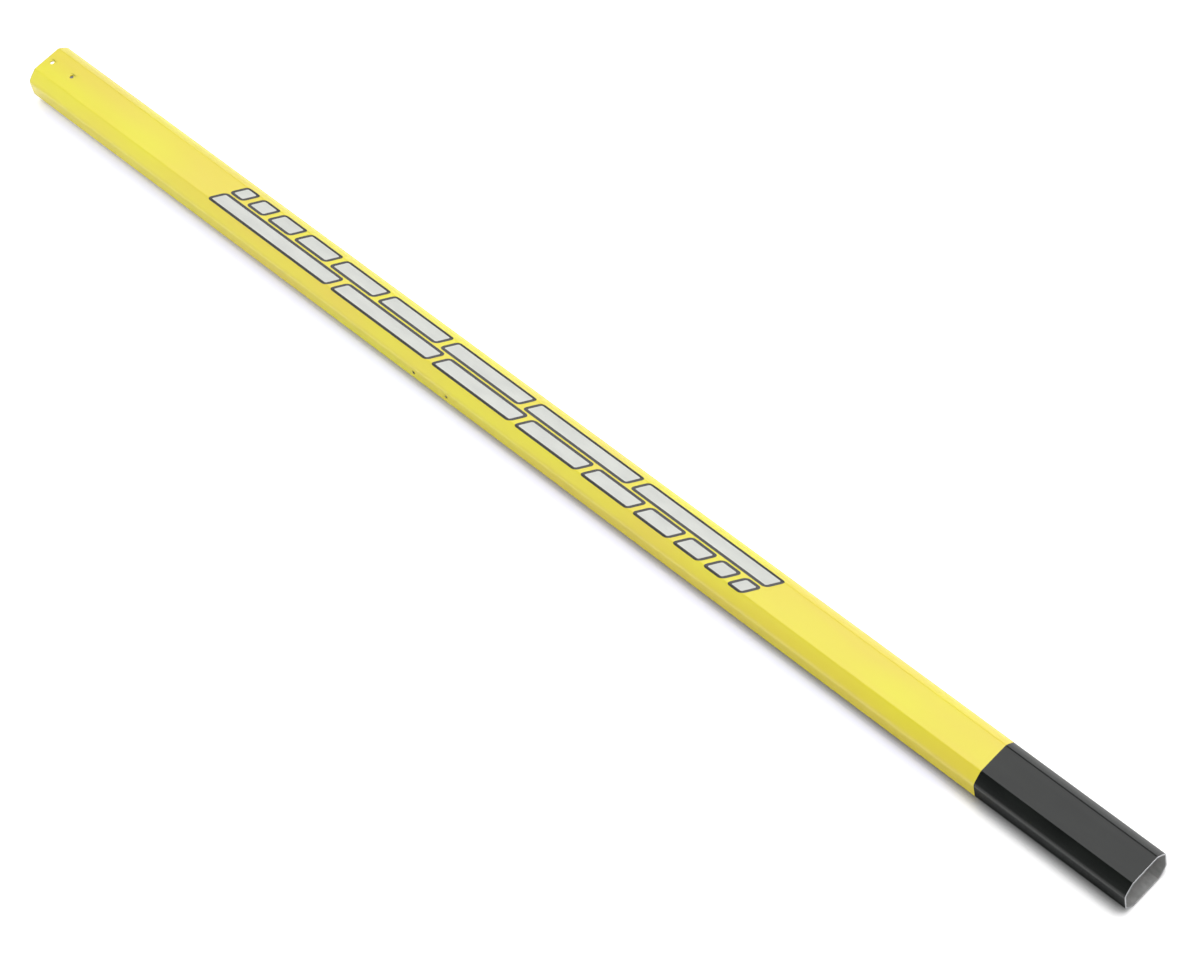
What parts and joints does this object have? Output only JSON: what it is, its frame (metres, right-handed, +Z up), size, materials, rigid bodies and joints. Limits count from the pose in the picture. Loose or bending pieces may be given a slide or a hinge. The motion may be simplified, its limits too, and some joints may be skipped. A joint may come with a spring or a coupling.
{
  "type": "helicopter tail boom",
  "caption": "Straight aluminium tube of flattened section, open at both ends, with screw holes at the tail end and in one side, that carries a model helicopter's tail rotor behind its frame.",
  "frame": {"origin": "on the bottom flat, under the middle of the tube", "axes": "+X along the tube to the end that the helicopter's frame clamps, -X to the tail rotor end, +Z up from the bottom flat, -Y the side with the two small screw holes"},
  "size_m": [0.805, 0.031, 0.0235],
  "materials": {
    "yellow_paint": "gloss yellow stoved paint",
    "black_anodised": "satin black anodised",
    "silver_print": "silver grey screen print on the paint",
    "dark_print": "dark grey screen print on the paint",
    "bare_aluminium": "bare, as drawn inside and sawn at the ends"
  },
  "bodies": {
    "root": {"boom_tube": "yellow_paint"}
  },
  "joints": []
}
